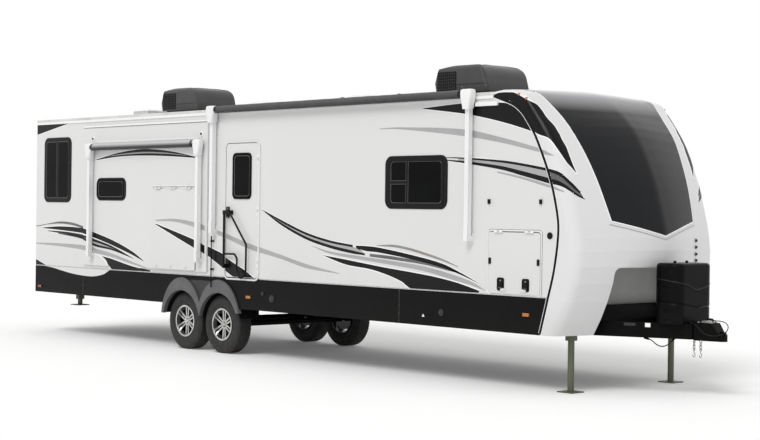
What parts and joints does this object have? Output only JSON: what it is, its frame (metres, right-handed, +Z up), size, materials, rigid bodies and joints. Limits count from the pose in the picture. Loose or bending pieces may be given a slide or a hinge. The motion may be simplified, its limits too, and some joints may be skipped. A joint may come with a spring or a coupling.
{
  "type": "travel caravan",
  "caption": "Long tandem-axle travel caravan with a moulded bowed front cap, slide-out rooms, roll-out awnings, entry and luggage doors, and a drawbar with landing legs.",
  "frame": {"origin": "on the ground under the middle of the whole trailer, drawbar included", "axes": "+X forward towards the coupler, +Y to the left, +Z up; the entry door is on the right side, at negative Y"},
  "size_m": [12.1145, 2.626, 3.715],
  "materials": {
    "shroud_grey": "satin",
    "awning_white": "gloss",
    "awning_dark": "matte",
    "chassis_black": "satin",
    "cord_black": "matte",
    "shell_white": "gloss",
    "hinge_steel": "satin",
    "glass_dark": "polished",
    "fender_grey": "satin",
    "deck_board": "matte",
    "panel_grey": "satin",
    "cover_black": "satin",
    "rail_black": "satin",
    "leg_olive": "satin",
    "frame_black": "satin",
    "lamp_amber": "gloss",
    "ladder_alloy": "satin",
    "roof_white": "matte",
    "trim_white": "satin",
    "vent_grey": "satin",
    "chain_steel": "satin",
    "skirt_black": "satin",
    "awning_light": "matte",
    "lamp_red": "gloss",
    "tyre_rubber": "matte",
    "belly_black": "matte",
    "wheel_alloy": "polished"
  },
  "bodies": {
    "root": {"air_conditioner_front": "shroud_grey", "air_conditioner_rear": "shroud_grey", "awning_brackets": "awning_white", "axles": "chassis_black", "charge_cord": "cord_black", "chassis": "chassis_black", "coupler": "chassis_black", "door_frame": "shell_white", "door_hinges": "hinge_steel", "drawbar": "chassis_black", "fenders": "fender_grey", "floor_deck": "deck_board", "front_cap": "shell_white", "front_lower_panel": "panel_grey", "gas_bottle_cover": "cover_black", "landing_legs": "leg_olive", "lead_cord": "cord_black", "lead_plug": "frame_black", "leaf_springs": "chassis_black", "marker_lamps": "lamp_amber", "rear_bumper": "chassis_black", "rear_ladder": "ladder_alloy", "rear_wall": "shell_white", "roof": "roof_white", "roof_trims": "trim_white", "roof_vents": "vent_grey", "safety_chains": "chain_steel", "side_wall_left": "shell_white", "side_wall_right": "shell_white", "skirt_left": "skirt_black", "skirt_rear": "skirt_black", "skirt_right": "skirt_black", "tail_lamps": "lamp_red", "underbelly": "belly_black", "wall_fittings": "frame_black", "window_frames": "frame_black", "window_glass": "glass_dark"},
    "entry_door": {"entry_door": "shell_white", "door_window": "glass_dark", "grab_rail": "rail_black"},
    "luggage_door_right": {"luggage_door_right": "shell_white"},
    "luggage_door_left": {"luggage_door_left": "shell_white"},
    "slide_room_right": {"slide_room_right": "shell_white", "slide_windows_right": "glass_dark"},
    "slide_room_left": {"slide_room_left": "shell_white", "slide_windows_left": "glass_dark"},
    "kitchen_hatch": {"kitchen_hatch": "shell_white"},
    "small_awning": {"small_awning_arms": "awning_white", "small_awning_roller": "awning_light"},
    "awning": {"awning_arms": "awning_white", "awning_roller": "awning_dark"},
    "wheel_rear_right": {"tyre_rear_right": "tyre_rubber", "wheel_rear_right": "wheel_alloy"},
    "wheel_rear_left": {"tyre_rear_left": "tyre_rubber", "wheel_rear_left": "wheel_alloy"},
    "wheel_front_right": {"tyre_front_right": "tyre_rubber", "wheel_front_right": "wheel_alloy"},
    "wheel_front_left": {"tyre_front_left": "tyre_rubber", "wheel_front_left": "wheel_alloy"}
  },
  "joints": [
    {"name": "wheel_rear_right_spin", "type": "hinge", "parent": "root", "child": "wheel_rear_right", "pos_m": [-2.05, -1.0625, 0.3875], "axis": [0, 1, 0], "continuous": true},
    {"name": "wheel_rear_left_spin", "type": "hinge", "parent": "root", "child": "wheel_rear_left", "pos_m": [-2.05, 1.0625, 0.3875], "axis": [0, 1, 0], "continuous": true},
    {"name": "wheel_front_right_spin", "type": "hinge", "parent": "root", "child": "wheel_front_right", "pos_m": [-1.208, -1.0625, 0.3875], "axis": [0, 1, 0], "continuous": true},
    {"name": "wheel_front_left_spin", "type": "hinge", "parent": "root", "child": "wheel_front_left", "pos_m": [-1.208, 1.0625, 0.3875], "axis": [0, 1, 0], "continuous": true},
    {"name": "entry_door_swing", "type": "hinge", "parent": "root", "child": "entry_door", "pos_m": [-0.38, -1.242, 1.9], "axis": [0, 0, 1], "range_deg": [0, 150]},
    {"name": "luggage_door_right_lift", "type": "hinge", "parent": "root", "child": "luggage_door_right", "pos_m": [4.128, -1.242, 1.72], "axis": [-1, 0, 0], "range_deg": [0, 165]},
    {"name": "luggage_door_left_lift", "type": "hinge", "parent": "root", "child": "luggage_door_left", "pos_m": [4.128, 1.242, 1.72], "axis": [1, 0, 0], "range_deg": [0, 165]},
    {"name": "slide_room_right_out", "type": "slide", "parent": "root", "child": "slide_room_right", "axis": [0, -1, 0], "range_m": [0, 0.6]},
    {"name": "slide_room_left_out", "type": "slide", "parent": "root", "child": "slide_room_left", "axis": [0, 1, 0], "range_m": [0, 0.6]},
    {"name": "kitchen_hatch_lift", "type": "hinge", "parent": "slide_room_right", "child": "kitchen_hatch", "pos_m": [-2.229, -1.282, 2.207], "axis": [-1, 0, 0], "range_deg": [0, 85]},
    {"name": "small_awning_out", "type": "hinge", "parent": "slide_room_right", "child": "small_awning", "pos_m": [-2.947, -1.307, 1.24], "axis": [1, 0, 0], "range_deg": [0, 45]},
    {"name": "awning_out", "type": "hinge", "parent": "root", "child": "awning", "pos_m": [1.0785, -1.282, 1.64], "axis": [1, 0, 0], "range_deg": [0, 55]}
  ]
}
